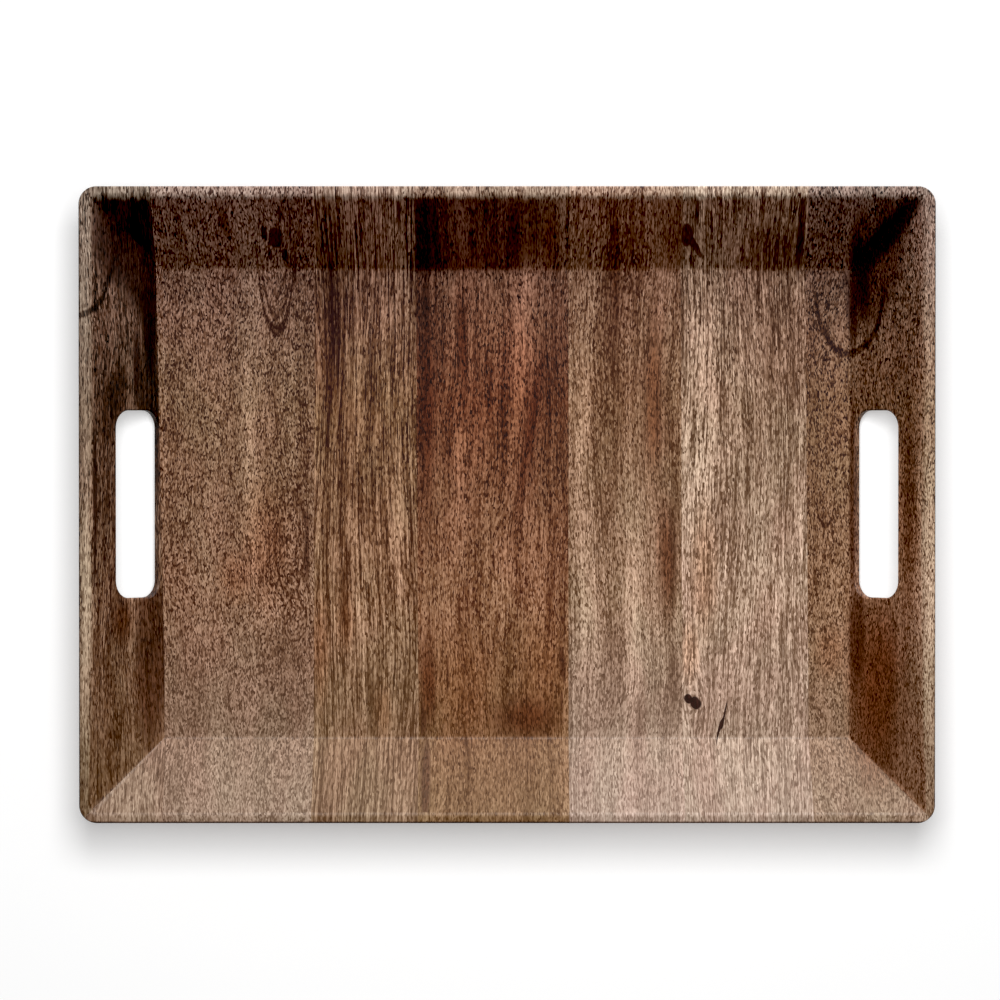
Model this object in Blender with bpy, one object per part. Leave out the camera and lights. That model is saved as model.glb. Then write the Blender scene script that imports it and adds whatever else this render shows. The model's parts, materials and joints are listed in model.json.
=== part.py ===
"""Serving tray of edge-glued wooden staves, with canted, mitred walls and two hand slots.

Frame: +Z up, X along the tray's length, Y from the front (-Y) to the back (+Y).
The origin is at the centre of the underside, on the table. All sizes are in metres.

The tray is one thin shell: a flat floor, four walls that lean out, a rounded rim.
The shell's section is drawn once, as a polygon with rounded corners, and is swept
round the rounded rectangle of the rim as a stack of rings. Each board is then the
part of that shell between its own glue joints, sawn out with planes:
- the floor meets each wall in a mitre along the fold between them;
- neighbouring walls meet in a mitre at the corner;
- the floor, the front wall and the back wall are staves glued edge to edge, with
  the grain running from front to back, and up the walls;
- each end wall is one board with its grain along its length, and a hand slot.
"""

import math

import bmesh
import bpy
from mathutils import Matrix, Vector

# ---------------------------------------------------------------- driving sizes
LENGTH = 0.480  # over the rim, along X
WIDTH = 0.357  # over the rim, along Y
HEIGHT = 0.049
BOARD = 0.0045  # thickness of floor and walls
WALL_ANGLE = math.radians(48)  # of the walls, above the floor

RIM_CORNER = 0.010  # radius of the rim's outline, seen from above
INNER_CORNER = 0.0015  # least radius of a wall's mitred corner
BASE_EDGE = 0.0015  # eased edge between the underside and the outer slope
RIM_EDGE = 0.0008  # eased outer edge of the rim
RIM_SHOULDER = 0.004  # round between the rim's flat top and the inner slope
FOLD = 0.003  # hollow between the inner slope and the floor

GLUE = 0.0003  # gap of every glue joint

# Each glue joint between two staves, as its X at the front rim and at the back rim.
STAVE_JOINTS = (
    (-0.193, -0.200),
    (-0.110, -0.109),
    (-0.050, -0.052),
    (0.035, 0.035),
    (0.100, 0.0985),
    (0.172, 0.169),
)

SLOT_LENGTH = 0.106  # along Y
SLOT_HEIGHT = 0.0332  # up the slope
SLOT_CORNER = 0.010
SLOT_RISE = 0.0206  # from the fold to the slot's middle, up the slope

ARC_STEPS = 5  # of each rounded corner of the section
CORNER_STEPS = 8  # of each corner of the outline
SLOT_STEPS = 8  # of each corner of a slot

# ---------------------------------------------------------------- derived sizes
SLOPE = math.tan(WALL_ANGLE)
HALF_ANGLE = WALL_ANGLE / 2
HALF_LENGTH = LENGTH / 2
HALF_WIDTH = WIDTH / 2
# Insets are measured inwards from the rim's outline. The slopes meet the rim's top at
# sharp edges that the rounding takes off, so the outer one lies just outside the rim.
OUTER_TIP = -RIM_EDGE * (1 / math.tan(HALF_ANGLE) - 1)
INNER_TIP = OUTER_TIP + BOARD / math.sin(WALL_ANGLE)
OUTER_FOLD = OUTER_TIP + HEIGHT / SLOPE
INNER_FOLD = INNER_TIP + (HEIGHT - BOARD) / SLOPE
FOLD_X = HALF_LENGTH - INNER_FOLD
FOLD_Y = HALF_WIDTH - INNER_FOLD

# ---------------------------------------------------------------- staves' colours
# sRGB colour of each stave, from the left end to the right end.
STAVE_COLOURS = (
    (0.40, 0.29, 0.21),
    (0.48, 0.35, 0.26),
    (0.44, 0.32, 0.23),
    (0.38, 0.24, 0.16),
    (0.54, 0.41, 0.31),
    (0.60, 0.48, 0.38),
    (0.42, 0.28, 0.19),
)
ROUGHNESS = 0.42


def clear_scene():
    for obj in list(bpy.data.objects):
        bpy.data.objects.remove(obj)


def linear(value):
    """An sRGB channel as the linear value that a shader takes."""
    return value / 12.92 if value <= 0.04045 else ((value + 0.055) / 1.055) ** 2.4


def wood_material(number):
    """The wood of stave number 1 to 7, counted from the left end."""
    material = bpy.data.materials.new(f"wood_{number}")
    material.use_nodes = True
    shader = material.node_tree.nodes["Principled BSDF"]
    colour = [linear(channel) for channel in STAVE_COLOURS[number - 1]]
    shader.inputs["Base Color"].default_value = (*colour, 1)
    shader.inputs["Roughness"].default_value = ROUGHNESS
    shader.inputs["Metallic"].default_value = 0
    return material


# ---------------------------------------------------------------- the whole shell
def rounded_corner(before, corner, after, radius):
    """Points of the arc that rounds a corner of an outline, tangent to both sides."""
    to_before = (before - corner).normalized()
    to_after = (after - corner).normalized()
    half = to_before.angle(to_after) / 2
    bisector = (to_before + to_after).normalized()
    centre = corner + bisector * (radius / math.sin(half))
    start = corner + to_before * (radius / math.tan(half)) - centre
    end = corner + to_after * (radius / math.tan(half)) - centre
    sweep = start.angle(end)
    points = []
    for step in range(ARC_STEPS + 1):
        part = step / ARC_STEPS
        spread = (
            start * math.sin((1 - part) * sweep) + end * math.sin(part * sweep)
        ) / math.sin(sweep)
        points.append(centre + spread)
    return points


def section():
    """The shell's section as (inset, height) points, from underside to floor."""
    corners = (
        (Vector((OUTER_FOLD, 0)), BASE_EDGE),
        (Vector((OUTER_TIP, HEIGHT)), RIM_EDGE),
        (Vector((INNER_TIP, HEIGHT)), RIM_SHOULDER),
        (Vector((INNER_FOLD, BOARD)), FOLD),
    )
    middle = (Vector((HALF_WIDTH, 0)), Vector((HALF_WIDTH, BOARD)))
    line = [middle[0], *(corner for corner, _ in corners), middle[1]]
    points = []
    for index, (corner, radius) in enumerate(corners, start=1):
        points += rounded_corner(line[index - 1], corner, line[index + 1], radius)
    return points


def ring(bm, inset, height):
    """One level of the shell: a rounded rectangle, as a loop of vertices."""
    radius = max(RIM_CORNER - inset, INNER_CORNER)
    vertices = []
    for quarter in range(4):
        along_x = 1 if quarter in (0, 3) else -1
        along_y = 1 if quarter in (0, 1) else -1
        centre_x = along_x * (HALF_LENGTH - inset - radius)
        centre_y = along_y * (HALF_WIDTH - inset - radius)
        for step in range(CORNER_STEPS + 1):
            angle = math.radians(90) * (quarter + step / CORNER_STEPS)
            x = centre_x + radius * math.cos(angle)
            y = centre_y + radius * math.sin(angle)
            vertices.append(bm.verts.new((x, y, height)))
    return vertices


def make_shell():
    """The tray in one piece, as a closed bmesh."""
    bm = bmesh.new()
    rings = [ring(bm, inset, height) for inset, height in section()]
    for lower, upper in zip(rings, rings[1:]):
        for index in range(len(lower)):
            after = (index + 1) % len(lower)
            bm.faces.new((lower[index], lower[after], upper[after], upper[index]))
    bm.faces.new(reversed(rings[0]))
    bm.faces.new(rings[-1])
    bmesh.ops.recalc_face_normals(bm, faces=bm.faces)
    return bm


# ---------------------------------------------------------------- saw cuts
def fold_cut(side_x, side_y, keep_wall):
    """The mitre between the floor and one wall, as (point, normal out of the piece)."""
    fold = Vector((side_x * FOLD_X, side_y * FOLD_Y, BOARD))
    out = Vector((side_x, side_y, 0))
    normal = out * math.cos(HALF_ANGLE) + Vector((0, 0, 1)) * math.sin(HALF_ANGLE)
    if keep_wall:
        normal = -normal
    return fold - normal * (GLUE / 2), normal


def corner_cut(side_x, side_y, keep_end):
    """The upright mitre between an end wall and a long wall at one corner."""
    corner = Vector((side_x * FOLD_X, side_y * FOLD_Y, 0))
    normal = Vector((-side_x, side_y, 0)).normalized()
    if not keep_end:
        normal = -normal
    return corner - normal * (GLUE / 2), normal


def joint_cut(joint, side):
    """The glue joint between two staves. side is 1 for the stave to the left of it."""
    front_x, back_x = joint
    front = Vector((front_x, -HALF_WIDTH, 0))
    along = Vector((back_x - front_x, WIDTH, 0)).normalized()
    normal = Vector((along.y, -along.x, 0)) * side
    return front - normal * (GLUE / 2), normal


def sawn(shell, cuts):
    """The part of the shell inside every cut, with each cut face closed."""
    bm = shell.copy()
    for point, normal in cuts:
        geometry = bm.verts[:] + bm.edges[:] + bm.faces[:]
        bmesh.ops.bisect_plane(
            bm, geom=geometry, dist=1e-7, plane_co=point, plane_no=normal, clear_outer=True
        )
        rim = [edge for edge in bm.edges if edge.is_boundary]
        bmesh.ops.edgeloop_fill(bm, edges=rim)
    bmesh.ops.recalc_face_normals(bm, faces=bm.faces)
    return bm


def add_board(name, bm, material):
    """Turns a bmesh into a named object of the scene."""
    mesh = bpy.data.meshes.new(name)
    bm.to_mesh(mesh)
    bm.free()
    mesh.shade_smooth()
    mesh.set_sharp_from_angle(angle=math.radians(30))
    mesh.materials.append(material)
    board = bpy.data.objects.new(name, mesh)
    bpy.context.scene.collection.objects.link(board)
    return board


# ---------------------------------------------------------------- boards
def make_panel(shell, woods, name, edges, first):
    """A panel of staves glued side by side, from stave number first to the last."""
    last = len(woods)
    for number in range(first, last + 1):
        cuts = list(edges)
        if number > first:
            cuts.append(joint_cut(STAVE_JOINTS[number - 2], -1))
        if number < last:
            cuts.append(joint_cut(STAVE_JOINTS[number - 1], 1))
        add_board(f"{name}_stave_{number}", sawn(shell, cuts), woods[number - 1])


def make_floor(shell, woods):
    """Staves 2 to 7, because the first joint runs along the left fold, off the floor."""
    folds = [
        fold_cut(-1, 0, False),
        fold_cut(1, 0, False),
        fold_cut(0, -1, False),
        fold_cut(0, 1, False),
    ]
    make_panel(shell, woods, "floor", folds, 2)


def make_long_wall(shell, woods, name, side_y):
    """The front wall (side_y -1) or the back wall (side_y 1), of staves 1 to 7."""
    edges = [
        fold_cut(0, side_y, True),
        corner_cut(-1, side_y, False),
        corner_cut(1, side_y, False),
    ]
    make_panel(shell, woods, name, edges, 1)


def slot_cutter(name, side_x):
    """A bar with a rounded outline, square to the end wall, that cuts its hand slot."""
    bm = bmesh.new()
    half_height = SLOT_HEIGHT / 2 - SLOT_CORNER
    half_length = SLOT_LENGTH / 2 - SLOT_CORNER
    outline = []
    for quarter in range(4):
        along_slope = 1 if quarter in (0, 3) else -1
        along_y = 1 if quarter in (0, 1) else -1
        for step in range(SLOT_STEPS + 1):
            angle = math.radians(90) * (quarter + step / SLOT_STEPS)
            up_slope = along_slope * half_height + SLOT_CORNER * math.cos(angle)
            y = along_y * half_length + SLOT_CORNER * math.sin(angle)
            outline.append(bm.verts.new((up_slope, y, -2 * BOARD)))
    base = bm.faces.new(outline)
    raised = bmesh.ops.extrude_face_region(bm, geom=[base])
    top = [v for v in raised["geom"] if isinstance(v, bmesh.types.BMVert)]
    bmesh.ops.translate(bm, verts=top, vec=(0, 0, 3 * BOARD))
    bmesh.ops.recalc_face_normals(bm, faces=bm.faces)
    mesh = bpy.data.meshes.new(name)
    bm.to_mesh(mesh)
    bm.free()
    cutter = bpy.data.objects.new(name, mesh)
    bpy.context.scene.collection.objects.link(cutter)
    # Local X runs up the slope, so it is turned up by the wall's angle about Y.
    up = Matrix.Rotation(-WALL_ANGLE, 4, "Y")
    middle = Vector((FOLD_X, 0, BOARD)) + up @ Vector((SLOT_RISE, 0, 0))
    facing = Matrix.Rotation(0 if side_x > 0 else math.pi, 4, "Z")
    cutter.matrix_world = facing @ Matrix.Translation(middle) @ up
    cutter.hide_render = True
    cutter.display_type = "WIRE"
    return cutter


def make_end_wall(shell, wood, name, side_x):
    """The left (side_x -1) or right (side_x 1) end board, with its hand slot."""
    cuts = [
        fold_cut(side_x, 0, True),
        corner_cut(side_x, -1, True),
        corner_cut(side_x, 1, True),
    ]
    board = add_board(f"{name}_end_board", sawn(shell, cuts), wood)
    slot = board.modifiers.new("hand_slot", "BOOLEAN")
    slot.operation = "DIFFERENCE"
    slot.object = slot_cutter(f"{name}_slot_cutter", side_x)


def main():
    clear_scene()
    woods = [wood_material(number) for number in range(1, len(STAVE_COLOURS) + 1)]
    shell = make_shell()
    make_floor(shell, woods)
    make_long_wall(shell, woods, "front_wall", -1)
    make_long_wall(shell, woods, "back_wall", 1)
    make_end_wall(shell, woods[0], "left", -1)
    make_end_wall(shell, woods[-1], "right", 1)
    shell.free()


main()
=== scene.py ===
"""The looks of a serving tray of edge-glued wooden staves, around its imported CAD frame.

Every board of the frame is replaced by a finer one of the same shape, with hairline glue
joints and rounded slot edges. The wood is procedural, and its grain runs from front to back
on every board. Each stave has its own tones and its own figure: stains, streaks, growth
lines and knots, placed in millimetres as seen from above.
"""

import json
import math

import bmesh
import bpy
from mathutils import Matrix, Vector

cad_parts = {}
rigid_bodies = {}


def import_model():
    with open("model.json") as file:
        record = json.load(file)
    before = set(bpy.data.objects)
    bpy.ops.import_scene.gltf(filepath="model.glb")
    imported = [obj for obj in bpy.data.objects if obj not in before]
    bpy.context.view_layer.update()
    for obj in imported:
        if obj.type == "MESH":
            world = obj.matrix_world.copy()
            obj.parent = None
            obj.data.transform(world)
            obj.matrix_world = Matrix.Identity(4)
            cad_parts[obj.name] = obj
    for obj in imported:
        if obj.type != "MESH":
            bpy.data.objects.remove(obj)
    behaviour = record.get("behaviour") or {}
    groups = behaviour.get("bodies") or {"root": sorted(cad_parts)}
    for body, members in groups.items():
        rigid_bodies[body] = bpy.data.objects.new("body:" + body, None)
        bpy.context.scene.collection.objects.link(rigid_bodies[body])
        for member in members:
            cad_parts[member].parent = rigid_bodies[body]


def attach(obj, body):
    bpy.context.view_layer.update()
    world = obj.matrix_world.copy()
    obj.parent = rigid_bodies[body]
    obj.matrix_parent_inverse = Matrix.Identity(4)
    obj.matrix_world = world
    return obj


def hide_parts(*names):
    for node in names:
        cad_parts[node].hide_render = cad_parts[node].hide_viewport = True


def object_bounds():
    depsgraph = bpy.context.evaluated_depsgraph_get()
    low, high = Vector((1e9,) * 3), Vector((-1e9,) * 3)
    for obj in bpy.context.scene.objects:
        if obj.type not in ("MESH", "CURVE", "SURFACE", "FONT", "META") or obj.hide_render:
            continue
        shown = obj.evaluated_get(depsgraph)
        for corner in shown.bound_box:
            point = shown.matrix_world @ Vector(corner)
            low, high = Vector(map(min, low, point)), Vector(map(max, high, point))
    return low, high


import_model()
CAD_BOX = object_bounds()

# ---------------------------------------------------------------- the tray's sizes
LOW, HIGH = (Vector(corner) for corner in CAD_BOX)
HALF_LENGTH = (HIGH.x - LOW.x) / 2
HALF_WIDTH = (HIGH.y - LOW.y) / 2
HEIGHT = HIGH.z - LOW.z
BOARD = 0.0045
WALL_ANGLE = math.radians(48)
RIM_CORNER = 0.010
INNER_CORNER = 0.0008
BASE_EDGE = 0.0015
RIM_EDGE = 0.0008
RIM_SHOULDER = 0.004
FOLD = 0.003
GLUE = 0.00003
STAVE_JOINTS = (
    (-0.193, -0.200),
    (-0.110, -0.109),
    (-0.050, -0.052),
    (0.035, 0.035),
    (0.100, 0.0985),
    (0.172, 0.169),
)
SLOT_LENGTH = 0.106
SLOT_HEIGHT = 0.0332
SLOT_CORNER = 0.010
SLOT_RISE = 0.0206
SLOT_EDGE = 0.0009  # round of the slot's edges, on both faces of the board

MM = 0.001

ARC_STEPS = 8
CORNER_STEPS = 20
SLOT_STEPS = 16

HALF_ANGLE = WALL_ANGLE / 2
OUTER_TIP = -RIM_EDGE * (1 / math.tan(HALF_ANGLE) - 1)
INNER_TIP = OUTER_TIP + BOARD / math.sin(WALL_ANGLE)
OUTER_FOLD = OUTER_TIP + HEIGHT / math.tan(WALL_ANGLE)
INNER_FOLD = INNER_TIP + (HEIGHT - BOARD) / math.tan(WALL_ANGLE)
FOLD_X = HALF_LENGTH - INNER_FOLD
FOLD_Y = HALF_WIDTH - INNER_FOLD


# ---------------------------------------------------------------- shapes
def rounded_corner(before, corner, after, radius):
    """Points of the arc that rounds a corner of an outline, tangent to both sides."""
    to_before = (before - corner).normalized()
    to_after = (after - corner).normalized()
    half = to_before.angle(to_after) / 2
    bisector = (to_before + to_after).normalized()
    centre = corner + bisector * (radius / math.sin(half))
    start = corner + to_before * (radius / math.tan(half)) - centre
    end = corner + to_after * (radius / math.tan(half)) - centre
    sweep = start.angle(end)
    points = []
    for step in range(ARC_STEPS + 1):
        part = step / ARC_STEPS
        spread = (
            start * math.sin((1 - part) * sweep) + end * math.sin(part * sweep)
        ) / math.sin(sweep)
        points.append(centre + spread)
    return points


def section():
    """The shell's section as (inset, height) points, from underside to floor."""
    corners = (
        (Vector((OUTER_FOLD, 0)), BASE_EDGE),
        (Vector((OUTER_TIP, HEIGHT)), RIM_EDGE),
        (Vector((INNER_TIP, HEIGHT)), RIM_SHOULDER),
        (Vector((INNER_FOLD, BOARD)), FOLD),
    )
    middle = (Vector((HALF_WIDTH, 0)), Vector((HALF_WIDTH, BOARD)))
    line = [middle[0], *(corner for corner, _ in corners), middle[1]]
    points = []
    for index, (corner, radius) in enumerate(corners, start=1):
        points += rounded_corner(line[index - 1], corner, line[index + 1], radius)
    return points


def rounded_rectangle(half_x, half_y, radius, steps):
    """Points of a rounded rectangle about the origin, anticlockwise from +X."""
    points = []
    for quarter in range(4):
        centre_x = (half_x - radius) * (1 if quarter in (0, 3) else -1)
        centre_y = (half_y - radius) * (1 if quarter in (0, 1) else -1)
        for step in range(steps + 1):
            angle = math.radians(90) * (quarter + step / steps)
            x = centre_x + radius * math.cos(angle)
            y = centre_y + radius * math.sin(angle)
            points.append((x, y))
    return points


def skin(levels):
    """A closed bmesh through a stack of outlines, each a list of 3-D points."""
    bm = bmesh.new()
    rings = [[bm.verts.new(point) for point in level] for level in levels]
    for lower, upper in zip(rings, rings[1:]):
        for index in range(len(lower)):
            after = (index + 1) % len(lower)
            bm.faces.new((lower[index], lower[after], upper[after], upper[index]))
    bm.faces.new(reversed(rings[0]))
    bm.faces.new(rings[-1])
    bmesh.ops.recalc_face_normals(bm, faces=bm.faces)
    return bm


def make_shell():
    """The whole tray as one closed bmesh, which the boards are sawn from."""
    levels = []
    for inset, height in section():
        radius = max(RIM_CORNER - inset, INNER_CORNER)
        outline = rounded_rectangle(
            HALF_LENGTH - inset, HALF_WIDTH - inset, radius, CORNER_STEPS
        )
        levels.append([(x, y, height) for x, y in outline])
    return skin(levels)


def fold_cut(side_x, side_y, keep_wall):
    """The mitre between the floor and one wall, as (point, normal out of the piece)."""
    fold = Vector((side_x * FOLD_X, side_y * FOLD_Y, BOARD))
    out = Vector((side_x, side_y, 0))
    normal = out * math.cos(HALF_ANGLE) + Vector((0, 0, 1)) * math.sin(HALF_ANGLE)
    if keep_wall:
        normal = -normal
    return fold - normal * (GLUE / 2), normal


def corner_cut(side_x, side_y, keep_end):
    """The upright mitre between an end wall and a long wall at one corner."""
    corner = Vector((side_x * FOLD_X, side_y * FOLD_Y, 0))
    normal = Vector((-side_x, side_y, 0)).normalized()
    if not keep_end:
        normal = -normal
    return corner - normal * (GLUE / 2), normal


def joint_cut(joint, side):
    """The glue joint between two staves. side is 1 for the stave to the left of it."""
    front_x, back_x = joint
    front = Vector((front_x, -HALF_WIDTH, 0))
    along = Vector((back_x - front_x, 2 * HALF_WIDTH, 0)).normalized()
    normal = Vector((along.y, -along.x, 0)) * side
    return front - normal * (GLUE / 2), normal


def sawn(shell, cuts):
    """The part of the shell inside every cut, with each cut face closed."""
    bm = shell.copy()
    for point, normal in cuts:
        geometry = bm.verts[:] + bm.edges[:] + bm.faces[:]
        bmesh.ops.bisect_plane(
            bm, geom=geometry, dist=1e-7, plane_co=point, plane_no=normal, clear_outer=True
        )
        rim = [edge for edge in bm.edges if edge.is_boundary]
        bmesh.ops.edgeloop_fill(bm, edges=rim)
    bmesh.ops.recalc_face_normals(bm, faces=bm.faces)
    return bm


def slot_bar(side_x):
    """The bar that cuts a hand slot. It flares at both faces, to leave rounded edges."""
    bite = SLOT_EDGE * 0.05  # how far the flares' ends stand proud of the board's faces
    depths = [(-2 * BOARD, SLOT_EDGE)]
    for step in range(ARC_STEPS + 1):
        angle = math.radians(90) * step / ARC_STEPS
        depth = -BOARD - bite + SLOT_EDGE * math.sin(angle)
        depths.append((depth, SLOT_EDGE * (1 - math.cos(angle - math.radians(90)))))
    depths += [(-BOARD - depth, flare) for depth, flare in reversed(depths)]
    up = Matrix.Rotation(-WALL_ANGLE, 4, "Y")
    middle = Vector((FOLD_X, 0, BOARD)) + up @ Vector((SLOT_RISE, 0, 0))
    facing = Matrix.Rotation(0 if side_x > 0 else math.pi, 4, "Z")
    place = facing @ Matrix.Translation(middle) @ up
    levels = []
    for depth, flare in depths:
        outline = rounded_rectangle(
            SLOT_HEIGHT / 2 + flare, SLOT_LENGTH / 2 + flare, SLOT_CORNER + flare, SLOT_STEPS
        )
        levels.append([place @ Vector((x, y, depth)) for x, y in outline])
    return skin(levels)


def add_object(name, bm):
    mesh = bpy.data.meshes.new(name)
    bm.to_mesh(mesh)
    bm.free()
    made = bpy.data.objects.new(name, mesh)
    bpy.context.scene.collection.objects.link(made)
    return made


def cut_slot(board, side_x):
    """Cuts the hand slot for good, so that no cutter stays in the scene."""
    bar = add_object("slot_bar", slot_bar(side_x))
    cut = board.modifiers.new("slot", "BOOLEAN")
    cut.operation = "DIFFERENCE"
    cut.object = bar
    evaluated = board.evaluated_get(bpy.context.evaluated_depsgraph_get())
    whole = board.data
    board.data = bpy.data.meshes.new_from_object(evaluated)
    board.modifiers.clear()
    board.data.name = board.name
    bpy.data.meshes.remove(whole)
    bpy.data.meshes.remove(bar.data)


def finish_board(board, node, material):
    """Shades a board, gives it its wood and puts it in its CAD node's place."""
    board.data.shade_smooth()
    board.data.set_sharp_from_angle(angle=math.radians(35))
    flat = board.modifiers.new("flat_faces", "WEIGHTED_NORMAL")
    flat.keep_sharp = True
    board.data.materials.clear()
    board.data.materials.append(material)
    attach(board, "root")
    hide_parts(node)


def make_panel(shell, woods, name, edges, first):
    """A panel of staves glued side by side, from stave number first to the last."""
    last = len(STAVE_JOINTS) + 1
    for number in range(first, last + 1):
        cuts = list(edges)
        if number > first:
            cuts.append(joint_cut(STAVE_JOINTS[number - 2], -1))
        if number < last:
            cuts.append(joint_cut(STAVE_JOINTS[number - 1], 1))
        node = f"{name}_stave_{number}"
        finish_board(add_object(f"{node}_wood", sawn(shell, cuts)), node, woods[number])


def make_end_wall(shell, wood, name, side_x):
    cuts = [
        fold_cut(side_x, 0, True),
        corner_cut(side_x, -1, True),
        corner_cut(side_x, 1, True),
    ]
    board = add_object(f"{name}_wood", sawn(shell, cuts))
    cut_slot(board, side_x)
    finish_board(board, name, wood)


def make_tray(woods, end_woods):
    shell = make_shell()
    folds = [
        fold_cut(-1, 0, False),
        fold_cut(1, 0, False),
        fold_cut(0, -1, False),
        fold_cut(0, 1, False),
    ]
    make_panel(shell, woods, "floor", folds, 2)
    for name, side_y in (("front_wall", -1), ("back_wall", 1)):
        edges = [
            fold_cut(0, side_y, True),
            corner_cut(-1, side_y, False),
            corner_cut(1, side_y, False),
        ]
        make_panel(shell, woods, name, edges, 1)
    make_end_wall(shell, end_woods["left"], "left_end_board", -1)
    make_end_wall(shell, end_woods["right"], "right_end_board", 1)
    shell.free()


# ---------------------------------------------------------------- wood
class Graph:
    """Short ways to add nodes to a material. Every call returns an output socket."""

    def __init__(self, tree):
        self.tree = tree

    def node(self, kind, inputs=None, **settings):
        made = self.tree.nodes.new(kind)
        for key, value in settings.items():
            setattr(made, key, value)
        for key, value in (inputs or {}).items():
            self.feed(made.inputs[key], value)
        return made

    def feed(self, socket, value):
        if isinstance(value, bpy.types.NodeSocket):
            self.tree.links.new(value, socket)
        else:
            socket.default_value = value

    def math(self, operation, *values, clamp=False):
        made = self.node("ShaderNodeMath", operation=operation, use_clamp=clamp)
        for socket, value in zip(made.inputs, values):
            self.feed(socket, value)
        return made.outputs[0]

    def add(self, *values, clamp=False):
        return self.math("ADD", *values, clamp=clamp)

    def times(self, *values, clamp=False):
        return self.math("MULTIPLY", *values, clamp=clamp)

    def vector(self, x, y, z=0.0):
        return self.node("ShaderNodeCombineXYZ", {0: x, 1: y, 2: z}).outputs[0]

    def noise(self, vector, detail=2.0, roughness=0.5):
        inputs = {"Vector": vector, "Scale": 1.0, "Detail": detail, "Roughness": roughness}
        return self.node("ShaderNodeTexNoise", inputs).outputs["Fac"]

    def remap(self, value, low, high, to_low=0.0, to_high=1.0, smooth=True):
        kind = "SMOOTHSTEP" if smooth else "LINEAR"
        inputs = {
            "Value": value,
            "From Min": low,
            "From Max": high,
            "To Min": to_low,
            "To Max": to_high,
        }
        return self.node("ShaderNodeMapRange", inputs, interpolation_type=kind).outputs[0]

    def ramp(self, value, colours):
        """Colours at even steps from 0 to 1."""
        made = self.node("ShaderNodeValToRGB", {0: value})
        stops = made.color_ramp.elements
        while len(stops) < len(colours):
            stops.new(1.0)
        for index, tint in enumerate(colours):
            stops[index].position = index / (len(colours) - 1)
            stops[index].color = tint
        return made.outputs[0]

    def mix(self, factor, first, second, blend="MIX"):
        made = self.node("ShaderNodeMix", data_type="RGBA", blend_type=blend, clamp_factor=False)
        self.feed(made.inputs[0], factor)
        self.feed(made.inputs[6], first)
        self.feed(made.inputs[7], second)
        return made.outputs[2]


def rgb(tone, shift=0):
    """An sRGB colour from 0 to 255, made lighter by shift, as the linear RGBA of a shader."""
    channels = []
    for value in tone:
        share = max(value + shift, 4) / 255
        channels.append(((share + 0.055) / 1.055) ** 2.4)
    return (*channels, 1)


def folded(graph, value, limit):
    """A coordinate that runs on up the slope beyond the fold at plus or minus limit."""
    size = graph.math("ABSOLUTE", value)
    beyond = graph.math("MAXIMUM", graph.math("SUBTRACT", size, limit), 0.0)
    longer = graph.times(beyond, 1 / math.cos(WALL_ANGLE) - 1)
    return graph.times(graph.math("SIGN", value), graph.add(size, longer))


def oval(graph, plan, x, y, half_width, half_length, turn=0):
    """Each point seen from an oval's centre, in shares of its radii. Sizes in millimetres."""
    return graph.node(
        "ShaderNodeMapping",
        {
            "Vector": plan,
            "Location": (x * MM, y * MM, 0),
            "Rotation": (0, 0, math.radians(turn)),
            "Scale": (half_width * MM, half_length * MM, 1),
        },
        vector_type="TEXTURE",
    ).outputs[0]


def radius_of(graph, local):
    return graph.node("ShaderNodeVectorMath", {0: local}, operation="LENGTH").outputs["Value"]


def patch(graph, local):
    return graph.remap(radius_of(graph, local), 1.15, 0.45)


def hole(graph, local):
    return graph.remap(radius_of(graph, local), 1.1, 0.85)


def haze(graph, local):
    return graph.remap(radius_of(graph, local), 1.35, 0.15)


def block(graph, local):
    """A rectangle with soft sides, for a darkening that ends where its board does."""
    size = graph.node("ShaderNodeVectorMath", {0: local}, operation="ABSOLUTE").outputs[0]
    sides = graph.node("ShaderNodeSeparateXYZ", {0: size}).outputs
    return graph.remap(graph.math("MAXIMUM", sides[0], sides[1]), 1.1, 0.85)


def loop(graph, local):
    """Nested growth lines within an oval, strongest at its rim."""
    radius = radius_of(graph, local)
    wave = graph.math("PINGPONG", graph.times(radius, 4.0), 0.5)
    lines = graph.remap(wave, 0.22, 0.5)
    inside = graph.remap(radius, 1.12, 1.0)
    near_rim = graph.remap(radius, 0.25, 0.9)
    return graph.times(graph.times(lines, inside), near_rim)


def bow(graph, local):
    """One growth line round the front half of an oval."""
    off = graph.math("ABSOLUTE", graph.math("SUBTRACT", radius_of(graph, local), 1.0))
    rise = graph.node("ShaderNodeSeparateXYZ", {0: local}).outputs[1]
    return graph.times(graph.remap(off, 0.08, 0.02), graph.remap(rise, 0.1, -0.4))


# Kinds of mark. Some move the tone of the grain, and others multiply a tint into it.
PALE = dict(shape=haze, ragged=0.4, tone=0.28)
DIM = dict(shape=haze, ragged=0.4, tone=-0.17)
SHADE = dict(shape=haze, ragged=0.6, tone=-0.35)
LINE = dict(shape=loop, ragged=0.4, tone=-0.45)
BOW = dict(shape=bow, ragged=0.4, tone=-0.6)
RED = dict(shape=haze, ragged=0.3, tint=(1.0, 0.87, 0.78, 1))
RUST = dict(shape=haze, ragged=0.2, tint=(0.52, 0.34, 0.24, 1))
DEEP = dict(shape=patch, ragged=0.7, tint=(0.42, 0.31, 0.26, 1))
BACK_WALL_DARKENING = dict(shape=block, ragged=0.5, tint=(0.50, 0.38, 0.38, 1))
STAIN = dict(shape=patch, ragged=1.0, tint=(0.20, 0.13, 0.12, 1))
BLOT = dict(shape=hole, ragged=0.9, tint=(0.16, 0.09, 0.09, 1))
KNOT = dict(shape=hole, ragged=0.15, tint=(0.07, 0.035, 0.03, 1))
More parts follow.
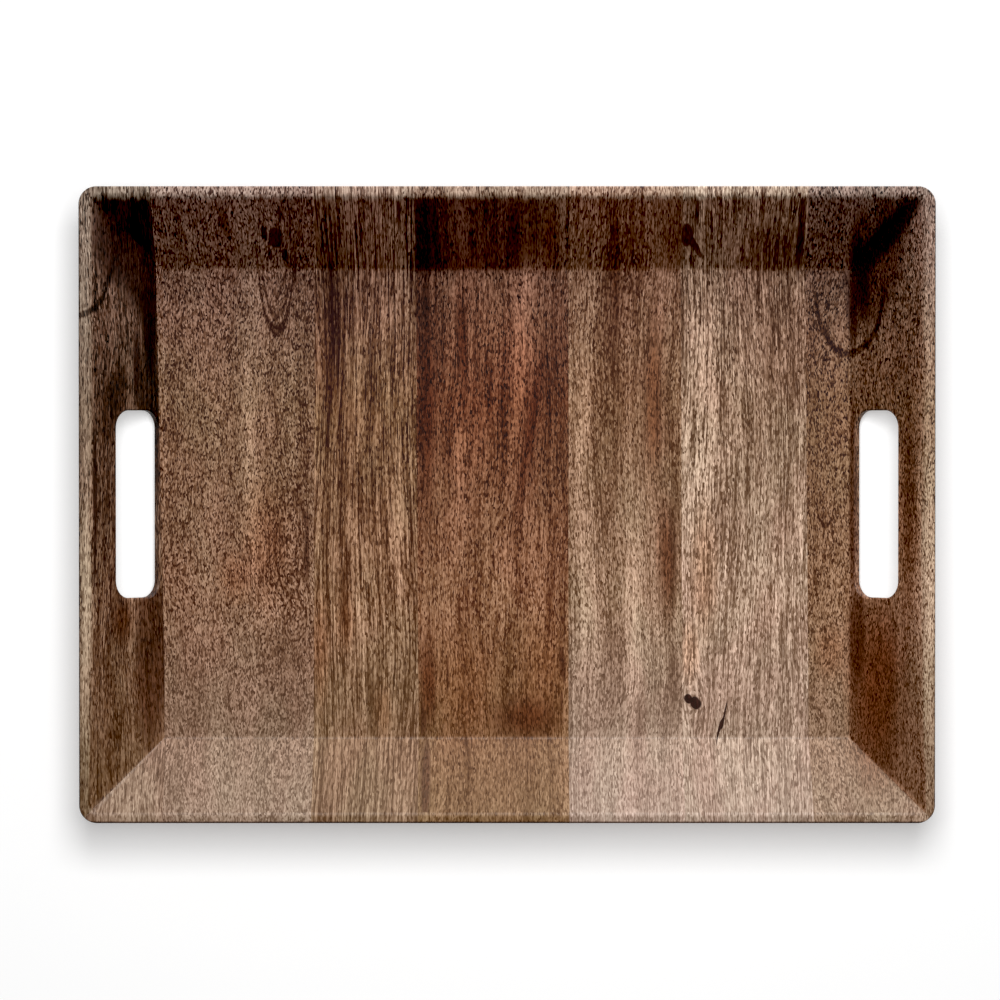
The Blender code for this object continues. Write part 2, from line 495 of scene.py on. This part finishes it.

# Each stave: its tones from front to back (end_tones on an end wall), which hold painted light
# as well as the wood's colour: paler and lighter on the front wall, and darker over the back of
# the floor as painted shade from the back wall; how strong each layer of its grain is, and its
# marks as (x, y, half width, half length, turn), in millimetres and degrees from above.
# lean is how the fibres sway, as (width, length, reach) of the bends in millimetres.
STAVES = {
    1: dict(
        tones=((126, 101, 82), (82, 51, 32), (66, 40, 22), (74, 48, 33)),
        end_tones=((95, 67, 43), (95, 65, 43), (62, 35, 18), (76, 50, 35)),
        bands=0.8, streaks=0.7, threads=0.85, dashes=1.35, pores=0.5,
        dash=2.4, thread=18, lean=(22, 36, 5),
        marks=(
            (
                STAIN, (-211, 142, 12, 46, 13), (-206, 150, 8, 36, 0), (-215, 154, 20, 34, 0),
                (-203.5, 112, 4, 42, 3), (-231.5, -2, 0.8, 56, 0), (-209.5, 78, 1.8, 22, 0),
            ),
            # The DEEP mark at x -202 and the SHADE mark at x -203 darken the foot of the left
            # wall along the fold: figure, and painted shade in the crease.
            (DEEP, (-202, -88, 9, 56, 0),),
            (SHADE, (-203, 60, 7, 60, 0), (-222, 58, 6, 20, -12)),
            (BOW, (-241, 139, 19, 33, 0),),
            (PALE, (-236, -60, 4, 80, 0),),
            (RUST, (-217, -66, 7, 16, 0),),
        ),
    ),
    2: dict(
        tones=((129, 106, 88), (109, 75, 52), (98, 68, 44), (94, 59, 46)),
        bands=0.45, streaks=0.35, threads=0.45, dashes=1.75, pores=0.35,
        dash=1.5, thread=7, lean=(18, 24, 5),
        marks=(
            (
                BLOT, (-130.4, 150.5, 4.2, 5.6, 0), (-137, 153, 1.4, 4, 10),
                (-128, 163, 1.2, 5, 0), (-134, 142, 1.3, 4, 8), (-126, 141, 1.2, 3.5, 0),
            ),
            (DEEP, (-159, 158, 3, 9, 12), (-114, -24, 1.8, 24, 0), (-114.5, -9, 2.2, 5, 0)),
            (BOW, (-131, 150, 11, 52, 0),),
            (
                LINE, (-123.5, -22, 10, 34, 0), (-121, -66, 8, 14, 0), (-121, 34, 8, 30, 0),
                (-131, 150, 10, 50, 0),
            ),
            (DIM, (-122, -116, 9, 18, 0), (-122, -86, 12, 12, 0), (-174, -112, 8, 26, 0)),
            (PALE, (-123, 51, 3.5, 72, 0), (-146, 20, 5, 70, 2), (-134, -58, 9, 12, 0)),
            (RED, (-154, -42, 12, 16, 0), (-138, -20, 14, 40, 0)),
        ),
    ),
    3: dict(
        tones=((118, 92, 68), (117, 83, 56), (91, 57, 29), (94, 59, 43)),
        bands=0.6, streaks=1.0, threads=1.4, dashes=1.2, pores=0.5,
        dash=2.3, thread=24, lean=(20, 60, 1.5),
        marks=(
            (SHADE, (-99, 111, 6, 66, 0), (-88, 118, 1.5, 60, 0), (-76, -114, 3, 16, 0)),
            (STAIN, (-60.3, 165, 1.3, 12, 0),),
            (DEEP, (-106.5, 158, 1.5, 26, 0),),
            (
                PALE, (-108, 60, 2.2, 100, 0), (-59, -9, 4.5, 68, 0), (-57, 10, 2, 90, 0),
                (-84, 60, 3, 60, 0), (-80, -60, 6, 30, 0),
            ),
            (DIM, (-70, -10, 2, 50, 0), (-93, -30, 3, 60, 0), (-56, -112, 5, 12, 0)),
            (RED, (-106, -84, 5, 38, 0), (-92, -66, 5, 20, 0), (-70, -118, 6, 16, 0)),
        ),
    ),
    4: dict(
        tones=((112, 83, 53), (113, 73, 45), (77, 34, 10), (93, 58, 40)),
        bands=0.7, streaks=0.8, threads=0.6, dashes=1.35, pores=0.45,
        dash=1.9, thread=26, lean=(20, 40, 4),
        marks=(
            (DEEP, (-47, 153, 8, 28, 0), (10, 157, 11, 25, -8)),
            # darker over stave 4's back wall, ending at the fold
            (BACK_WALL_DARKENING, (-24, 153, 29, 21, 0),),
            (
                DEEP, (-46, -157, 3.5, 26, 0), (-34, -97, 1.1, 12, 0),
                (31.5, -92, 2.2, 12, 8), (31, -112, 1.2, 6, 0), (-46.5, 114, 3, 12, 0),
                (-48, -124, 2, 12, 0),
            ),
            (
                RUST, (-45, 60, 6, 80, 0), (-26, 92, 3, 36, 3), (13, 39, 3.6, 58, -9),
                (-45, -104, 6, 30, 0), (24, 152, 6, 22, 0), (10, -122, 22, 14, 0),
            ),
            (
                RED, (-23, 100, 7, 38, 0), (20, -100, 18, 38, 0), (-25, -104, 22, 34, 0),
                (-8, 74, 44, 62, 0),
            ),
            (
                PALE, (6, 50, 2.5, 66, -10.6), (-26, 10, 5, 60, 0), (-2, -40, 6, 30, 0),
                (8, 96, 6, 44, -5),
            ),
            (DIM, (-36, 60, 2, 70, 2), (24, -60, 2, 40, -3)),
        ),
    ),
    5: dict(
        tones=((149, 127, 112), (130, 101, 77), (114, 81, 55), (111, 72, 52)),
        bands=0.7, streaks=0.7, threads=0.65, dashes=1.35, pores=0.45,
        dash=1.9, thread=26, lean=(20, 40, 4),
        marks=(
            (RUST, (83.5, 60, 8, 60, 0), (61.5, 140, 3.5, 44, 0), (91, -32, 7, 40, 3)),
            (SHADE, (92, 156, 8, 24, 0), (95, -20, 3, 40, 0), (95, -104, 4, 22, 2)),
            (DIM, (64, -80, 8, 12, 0), (62, 60, 3, 60, 0), (75, -126, 4, 16, -12)),
            (PALE, (44, 50, 4, 74, -4), (48, -60, 8, 60, 0), (72, -70, 6, 50, 0)),
        ),
    ),
    6: dict(
        tones=((148, 126, 110), (149, 121, 100), (123, 95, 73), (107, 73, 54)),
        bands=0.6, streaks=0.8, threads=1.2, dashes=1.45, pores=0.55,
        dash=2.3, thread=22, lean=(20, 60, 1.5),
        marks=(
            (
                BLOT, (101.8, 152, 3.2, 6.5, 0), (106.5, 146, 2, 8, 35), (107.5, 166, 1, 9, 0),
            ),
            (STAIN, (165.5, 153, 2.4, 26, 0),),
            (KNOT, (102.8, -111, 2.4, 2.9, 20), (107, -113.4, 3.2, 4.0, 30),
             (122.4, -124.8, 0.75, 13, -14)),
            (SHADE, (151, 144, 17, 14, 0), (167, -153, 2.5, 6, 0), (163, 70, 1, 60, 0)),
            (DIM, (153, 54, 13, 80, 0), (141, 119, 6, 38, 0), (136, -108, 12, 22, 0)),
            (RED, (104, -84, 6, 20, 0), (112, -40, 8, 40, 0)),
            (PALE, (117, 54, 13, 70, 0), (166.5, -40, 1.6, 120, 0), (108, -88, 4, 10, 0)),
        ),
        knot=(106, -112, 17, 30),
    ),
    7: dict(
        tones=((128, 104, 84), (113, 80, 53), (87, 55, 29), (76, 46, 34)),
        end_tones=((104, 71, 48), (119, 84, 60), (84, 51, 27), (76, 45, 32)),
        bands=0.45, streaks=0.35, threads=0.45, dashes=1.75, pores=0.35,
        dash=1.5, thread=7, lean=(18, 24, 5),
        marks=(
            (STAIN, (212, 149, 7, 36, -39), (200, 128, 5, 26, 4), (197, 112, 4, 26, 0)),
            (BOW, (194, 125, 19, 40, 0), (181, 5, 5, 18, 0)),
            # The DEEP marks at x 196.8 and 199 darken the foot of the right wall along the fold:
            # figure, and painted shade in the crease.
            (
                DEEP, (196.8, 8, 2.4, 66, 0), (211, 136, 13, 42, -12), (199, -74, 5, 32, 0),
                (200, 146, 8, 22, 0),
            ),
            (SHADE, (226, 0, 3, 60, 0),),
            (RUST, (211, -104, 17, 62, 0),),
            (RED, (184, -85, 11, 17, 0), (206, -100, 16, 60, 0), (224, -10, 8, 60, 0)),
            (PALE, (235, -40, 5, 160, 0),),
        ),
    ),
}
TONE_REACH = 0.17  # how far in front of and behind the middle the tones' first and last are
CONTRAST = (30, 50, 50, 62)  # how far the grain's tones spread, from front to back
END_CONTRAST = 1.15  # how much further they spread on an end wall
SWAY = (55, 160, 12)  # the broad bends of the fibres, as lean is
THREAD_WIDTH = 0.50  # in millimetres, like the next
DASH_WIDTH = 0.46
MEAN_STROKE = 0.67  # the mean tone of the strokes
FRAY = 0.004  # how far the streaks draw out the edges of marks and of the rim's painted highlight
FRONT_HIGHLIGHT_DEPTH = 0.0012  # how far below the rim's top the painted highlight, a paler and whiter band, starts on the front wall
HIGHLIGHT_DEPTH = 0.0035  # and on the other walls
HIGHLIGHT_FULL_DEPTH = 0.0005  # and where it is full
PORE = (0.42, 0.32, 0.27, 1)
OLIVE = (0.98, 1.0, 0.98, 1)
PINK = (1.02, 0.97, 0.97, 1)
# the whitish tint of the rim's painted highlight
HIGHLIGHT_TINT = (0.95, 1.15, 1.20, 1)
ARRIS_SHADE_TINT = (0.22, 0.16, 0.13, 1)
FLAT = dict(voronoi_dimensions="2D", feature="F1")


def wander(graph, across, along, seed, look):
    """The coordinate across the grain, bent so that the grain sways and rounds a knot."""
    for width, length, reach in (SWAY, look["lean"]):
        place = graph.vector(
            graph.times(across, 1 / (width * MM)), graph.times(along, 1 / (length * MM)), seed
        )
        push = graph.math("SUBTRACT", graph.noise(place, detail=0), 0.5)
        across = graph.math("MULTIPLY_ADD", push, reach * MM, across)
    if "knot" in look:
        x, y, half_width, half_length = look["knot"]
        plan = graph.vector(across, along)
        local = oval(graph, plan, x, y, half_width, half_length)
        near = graph.remap(radius_of(graph, local), 1.0, 0.0)
        offset = graph.math("SUBTRACT", across, x * MM)
        across = graph.math(
            "SUBTRACT", across, graph.times(graph.times(offset, near), 0.8)
        )
    return across


def mark_mask(graph, plan, fibres, kind, places):
    """Where a stave has one kind of mark, with edges that the fibres break."""
    mask = 0.0
    for place in places:
        mask = graph.math("MAXIMUM", mask, kind["shape"](graph, oval(graph, plan, *place)))
    inside = graph.remap(mask, 0.0, 0.3)
    ragged = graph.times(graph.times(fibres, kind["ragged"]), inside)
    return graph.add(mask, ragged, clamp=True)


def grain_layers(graph, across, along, look, seed):
    """The layers of one stave's grain, each a tone about 0."""

    def layer(width, length, shift, detail=0.0):
        """Noise in cells of a width and length in millimetres, turned off the axes."""
        flat = graph.vector(
            graph.times(across, 1 / (width * MM)), graph.times(along, 1 / (length * MM))
        )
        turned = graph.node(
            "ShaderNodeMapping",
            {"Vector": flat, "Location": (seed, shift, 0), "Rotation": (0.61, 0.79, 0.0)},
        ).outputs[0]
        return graph.math("SUBTRACT", graph.noise(turned, detail=detail), 0.5)

    def strokes(width, length, shift):
        """Strokes with crisp sides, most of them light, of a size in millimetres."""
        flat = graph.vector(
            graph.math("MULTIPLY_ADD", across, 1 / (width * MM), shift),
            graph.math("MULTIPLY_ADD", along, 1 / (length * MM), seed),
        )
        cells = graph.node("ShaderNodeTexVoronoi", {"Vector": flat, "Scale": 1.0}, **FLAT)
        tones = graph.node("ShaderNodeSeparateColor", {0: cells.outputs["Color"]})
        return graph.math("SUBTRACT", graph.math("SQRT", tones.outputs[0]), MEAN_STROKE)

    return dict(
        bands=layer(16, 300, 1),
        streaks=layer(3.2, 110, 2, 1),
        threads=strokes(THREAD_WIDTH, look["thread"], 3),
        dashes=strokes(DASH_WIDTH, look["dash"], 4),
        pores=layer(0.8, look["dash"] * 1.5, 5),
        hues=layer(22, 50, 6, 1),
    )


def wood_surface(graph, place, number, end_board):
    """One stave's colour, with a painted highlight along the rim, and its pits and fibres for
    the roughness and the bump.
    """
    look = STAVES[number]
    x, y, z = place
    across = folded(graph, x, FOLD_X) if end_board else x
    across = wander(graph, across, y, 10.0 * number, look)
    layers = grain_layers(graph, across, y, look, 10.0 * number)
    fibres = graph.add(layers["threads"], layers["dashes"])
    shift = graph.times(layers["streaks"], FRAY)
    plan = graph.vector(graph.add(x, shift), y)
    depth = graph.remap(y, -TONE_REACH, TONE_REACH, smooth=False)
    # Painted highlight: the rim is lighter and whiter, starting further below its top away from
    # the front wall.
    highlight_from = graph.remap(depth, 0.0, 0.2, HEIGHT - FRONT_HIGHLIGHT_DEPTH, HEIGHT - HIGHLIGHT_DEPTH)
    highlit_rim = graph.remap(graph.add(z, shift), highlight_from, HEIGHT - HIGHLIGHT_FULL_DEPTH)
    outside_highlight = graph.math("SUBTRACT", 1.0, highlit_rim)

    tone = 0.5
    for name in ("bands", "streaks", "threads", "dashes"):
        tone = graph.math("MULTIPLY_ADD", layers[name], look[name], tone)
    tints = []
    for kind, *places in look["marks"]:
        mask = mark_mask(graph, plan, fibres, kind, places)
        if "tone" in kind:
            tone = graph.math("MULTIPLY_ADD", mask, kind["tone"], tone)
        else:
            tints.append((graph.times(mask, outside_highlight), kind["tint"]))
    # the painted highlight lifts the rim's tone, more so away from the front wall
    highlight_gain = 0.22 if end_board else graph.remap(depth, 0.0, 0.3, 0.12, 0.30)
    tone = graph.math("MULTIPLY_ADD", highlit_rim, highlight_gain, tone)

    tones = look.get("end_tones", look["tones"]) if end_board else look["tones"]
    spread = END_CONTRAST if end_board else 1.0
    dark, middle, light = (
        graph.ramp(
            depth,
            [rgb(colour, side * spread * way) for colour, way in zip(tones, CONTRAST)],
        )
        for side in (-1, 0, 1)
    )
    surface = graph.mix(graph.remap(tone, 0.0, 0.5, smooth=False), dark, middle)
    beyond = graph.math("MULTIPLY_ADD", graph.math("MAXIMUM", tone, 0.5), 2.0, -1.0)
    surface = graph.mix(beyond, surface, light)
    hue = graph.remap(layers["hues"], -0.2, 0.2)
    surface = graph.mix(1.0, surface, graph.mix(hue, OLIVE, PINK), "MULTIPLY")
    pits = graph.remap(layers["pores"], -0.06, -0.16)
    tints.append((graph.times(pits, look["pores"]), PORE))
    # and it tints the rim whiter, with less of that at the front wall
    highlight_tint_share = 0.7 if end_board else graph.remap(depth, 0.0, 0.3)
    tints.append((graph.times(highlit_rim, highlight_tint_share), HIGHLIGHT_TINT))
    for mask, tint in tints:
        surface = graph.mix(mask, surface, tint, "MULTIPLY")
    return surface, pits, fibres


def painted_arris_shade(graph, x, y):
    """Painted shade: a dark line along the rim's outer arris at the front and at both ends,
    where the rounded edge turns from the light.
    """
    side = graph.math("SUBTRACT", HALF_LENGTH, graph.math("ABSOLUTE", x))
    front = graph.times(graph.add(y, HALF_WIDTH), 0.45)
    return graph.remap(graph.math("MINIMUM", side, front), 0.0007, 0.0002)


def wood_material(name, number, end_board=False, foot=None):
    """A board's wood. foot is (joint, number) of the stave that runs on along its foot."""
    material = bpy.data.materials.new(name)
    material.use_nodes = True
    shader = material.node_tree.nodes["Principled BSDF"]
    graph = Graph(material.node_tree)
    position = graph.node("ShaderNodeTexCoord").outputs["Object"]
    place = tuple(graph.node("ShaderNodeSeparateXYZ", {0: position}).outputs)
    surface, pits, fibres = wood_surface(graph, place, number, end_board)
    if foot:
        (front_x, back_x), next_number = foot
        next_surface = wood_surface(graph, place, next_number, end_board)[0]
        joint_x = graph.remap(
            place[1], -HALF_WIDTH, HALF_WIDTH, front_x, back_x, smooth=False
        )
        inside = graph.math("GREATER_THAN", place[0], joint_x)
        surface = graph.mix(inside, surface, next_surface)
    # painted shade along the rim's outer arris
    surface = graph.mix(painted_arris_shade(graph, *place[:2]), surface, ARRIS_SHADE_TINT, "MULTIPLY")

    graph.feed(shader.inputs["Base Color"], surface)
    graph.feed(shader.inputs["Roughness"], graph.math("MULTIPLY_ADD", pits, 0.2, 0.55))
    height = graph.math("SUBTRACT", graph.times(fibres, 0.6), pits)
    bump = graph.node("ShaderNodeBump", {"Strength": 0.2, "Distance": 0.0002, "Height": height})
    graph.feed(shader.inputs["Normal"], bump.outputs[0])
    return material


# ---------------------------------------------------------------- the studio
LIGHT_DISTANCE = 1.8


def make_table():
    material = bpy.data.materials.new("table")
    material.use_nodes = True
    shader = material.node_tree.nodes["Principled BSDF"]
    shader.inputs["Base Color"].default_value = (0.7, 0.7, 0.7, 1)
    shader.inputs["Roughness"].default_value = 0.8
    shader.inputs["Emission Color"].default_value = (1, 1, 1, 1)
    shader.inputs["Emission Strength"].default_value = 0.34
    bm = bmesh.new()
    bmesh.ops.create_grid(bm, x_segments=1, y_segments=1, size=4)
    table = add_object("table", bm)
    table.data.materials.append(material)
    return table


def aim(thing, place, target):
    thing.location = place
    direction = Vector(target) - Vector(place)
    thing.rotation_euler = direction.to_track_quat("-Z", "Y").to_euler()


def softbox(name, size, power, azimuth, elevation, lit, glossy=True):
    """A soft light on some of the objects. azimuth is degrees from the back to the right."""
    light = bpy.data.lights.new(name, "AREA")
    light.shape = "RECTANGLE"
    light.size, light.size_y = size
    light.energy = power
    lamp = bpy.data.objects.new(name, light)
    bpy.context.scene.collection.objects.link(lamp)
    turn, rise = math.radians(azimuth), math.radians(elevation)
    away = Vector(
        (math.sin(turn) * math.cos(rise), math.cos(turn) * math.cos(rise), math.sin(rise))
    )
    aim(lamp, away * LIGHT_DISTANCE, (0, 0, 0))
    receivers = bpy.data.collections.new(f"lit_by_{name}")
    for thing in lit:
        receivers.objects.link(thing)
    lamp.light_linking.receiver_collection = receivers
    lamp.visible_glossy = glossy


def make_lights(tray, table):
    """A key light that the back wall shades, and high lights that give a short shadow."""
    softbox("key_softbox", (0.9, 1.1), 41, 15, 36, tray)
    softbox("top_softbox", (0.8, 0.6), 15, 8, 85, [*tray, table], glossy=False)
    softbox("table_softbox", (0.8, 0.5), 17, 8, 68, [table])
    world = bpy.data.worlds.new("studio")
    world.use_nodes = True
    background = world.node_tree.nodes["Background"]
    background.inputs["Color"].default_value = (1, 1, 1, 1)
    background.inputs["Strength"].default_value = 0.15
    bpy.context.scene.world = world


BLACK = 0.015  # the linear tone that the picture shows as black
CAMERA_DISTANCE = 3.0  # from the rim
FRAME_WIDTH = 0.5601  # of the picture, at the rim's height
CAMERA_BACK = 0.051  # how far behind the tray's centre the camera hangs
AIM = (-0.00398, 0.0028)


def make_camera():
    data = bpy.data.cameras.new("camera")
    data.sensor_width = 36
    data.lens = data.sensor_width * CAMERA_DISTANCE / FRAME_WIDTH
    data.clip_end = 20
    camera = bpy.data.objects.new("camera", data)
    bpy.context.scene.collection.objects.link(camera)
    camera.location = (AIM[0], CAMERA_BACK, HEIGHT + CAMERA_DISTANCE)
    camera.rotation_euler.x = math.atan((AIM[1] - CAMERA_BACK) / CAMERA_DISTANCE)
    bpy.context.scene.camera = camera


def set_tones():
    """A plain view of the colours, with the deepest shadows set to black."""
    view = bpy.context.scene.view_settings
    view.view_transform = "Standard"
    view.use_curve_mapping = True
    view.curve_mapping.black_level = (BLACK, BLACK, BLACK)
    view.curve_mapping.update()


def main():
    make_camera()
    woods = {
        number: wood_material(f"wood_{number}", number)
        for number in STAVES
    }
    end_woods = {
        "left": wood_material("wood_1_end", 1, True, (STAVE_JOINTS[0], 2)),
        "right": wood_material("wood_7_end", 7, True),
    }
    make_tray(woods, end_woods)
    tray = [thing for thing in bpy.context.scene.objects if thing.name.endswith("_wood")]
    make_lights(tray, make_table())
    set_tones()


main()
